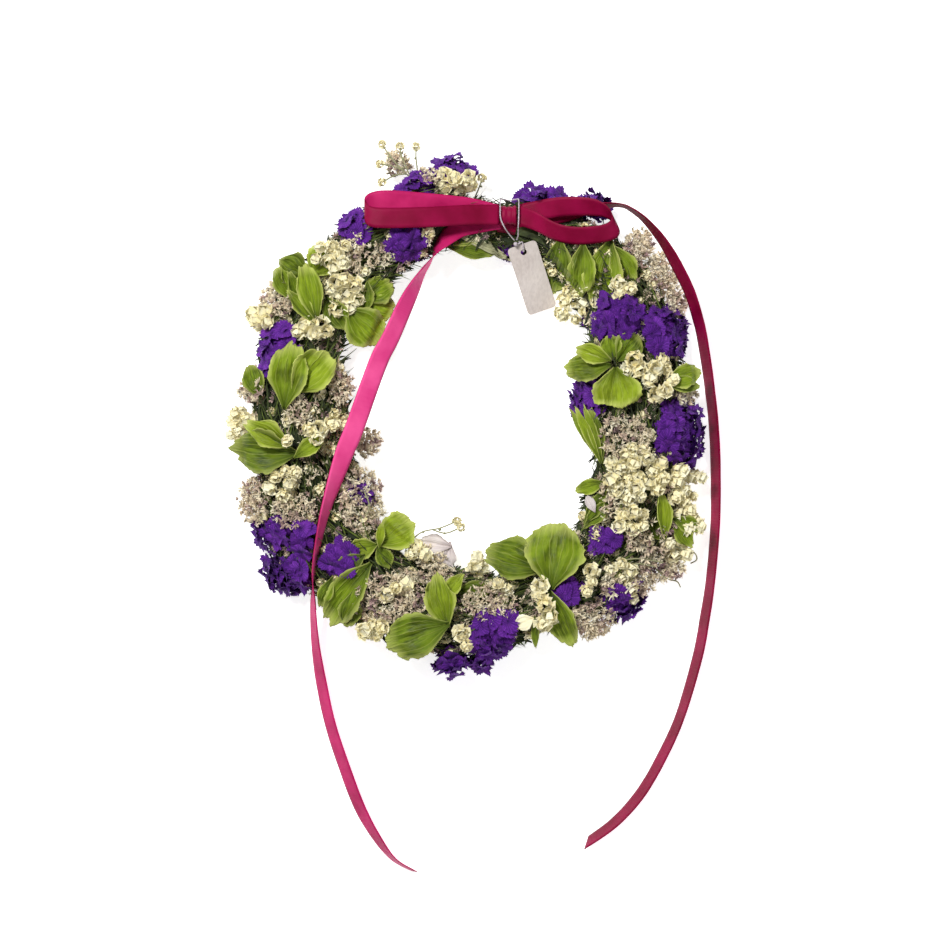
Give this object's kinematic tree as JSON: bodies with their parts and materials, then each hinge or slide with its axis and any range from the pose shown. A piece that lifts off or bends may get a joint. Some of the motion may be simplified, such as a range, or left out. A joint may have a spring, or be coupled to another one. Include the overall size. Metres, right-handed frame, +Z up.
{
  "type": "flower crown",
  "caption": "oval head wreath of dried violet, green and cream sprigs bound on a wire hoop, tied with a satin bow, two long tails and a blank swing tag",
  "frame": {"origin": "on the table under the middle of the crown, ribbon tails left out", "axes": "+Z up from the table; +Y towards the bow, along the crown's longer way; +X to the right, the side the tag leans to"},
  "size_m": [0.2467, 0.3634, 0.0381],
  "materials": {
    "hoop_wire": "green-grey lacquered floral wire",
    "floral_tape": "waxed crepe paper tape, olive green",
    "stems": "dried stems, olive to straw",
    "binding_wire": "thin green lacquered reel wire",
    "ribbon": "deep magenta double-faced satin",
    "string": "thin pale lilac-grey twisted thread",
    "tag_card": "uncoated blank card, pinkish grey",
    "statice": "dried papery violet calyxes, finely ribbed, matt",
    "hydrangea": "preserved petals and leaves, soft satin green",
    "babys_breath": "dried double florets, cream, matt",
    "caspia": "dried tiny florets, mauve grey, matt"
  },
  "bodies": {
    "crown": {"wire_hoop": "hoop_wire", "floral_tape": "floral_tape", "stem_bundle_left": "stems", "stem_bundle_right": "stems", "binding_wire": "binding_wire", "ribbon_band": "ribbon", "bow_knot": "ribbon", "bow_loop_left": "ribbon", "bow_loop_right": "ribbon", "ribbon_tail_left": "ribbon", "ribbon_tail_right": "ribbon", "tag_string": "string", "statice_01": "statice", "statice_02": "statice", "statice_03": "statice", "statice_04": "statice", "statice_05": "statice", "statice_06": "statice", "statice_07": "statice", "statice_08": "statice", "statice_09": "statice", "statice_10": "statice", "statice_11": "statice", "statice_12": "statice", "statice_13": "statice", "statice_14": "statice", "hydrangea_01": "hydrangea", "hydrangea_02": "hydrangea", "hydrangea_03": "hydrangea", "hydrangea_04": "hydrangea", "hydrangea_05": "hydrangea", "hydrangea_06": "hydrangea", "hydrangea_07": "hydrangea", "hydrangea_08": "hydrangea", "hydrangea_09": "hydrangea", "hydrangea_10": "hydrangea", "hydrangea_11": "hydrangea", "hydrangea_12": "hydrangea", "hydrangea_13": "hydrangea", "babys_breath_01": "babys_breath", "babys_breath_02": "babys_breath", "babys_breath_03": "babys_breath", "babys_breath_04": "babys_breath", "babys_breath_05": "babys_breath", "babys_breath_06": "babys_breath", "caspia_01": "caspia", "caspia_02": "caspia", "caspia_03": "caspia", "caspia_04": "caspia", "caspia_05": "caspia", "caspia_06": "caspia", "caspia_07": "caspia", "caspia_08": "caspia", "caspia_09": "caspia", "caspia_10": "caspia", "caspia_11": "caspia"},
    "tie": {"tie_knot": "string"},
    "tag": {"tie_loop": "string", "swing_tag": "tag_card"}
  },
  "joints": [
    {"name": "tag_swing", "type": "hinge", "parent": "crown", "child": "tie", "pos_m": [0.0228, 0.0873, 0.0179], "axis": [0, 0, 1], "range_deg": [-40, 5]},
    {"name": "tag_flip", "type": "hinge", "parent": "tie", "child": "tag", "pos_m": [0.0228, 0.0873, 0.0179], "axis": [-0.9455, -0.3256, 0], "range_deg": [0, 75]}
  ]
}
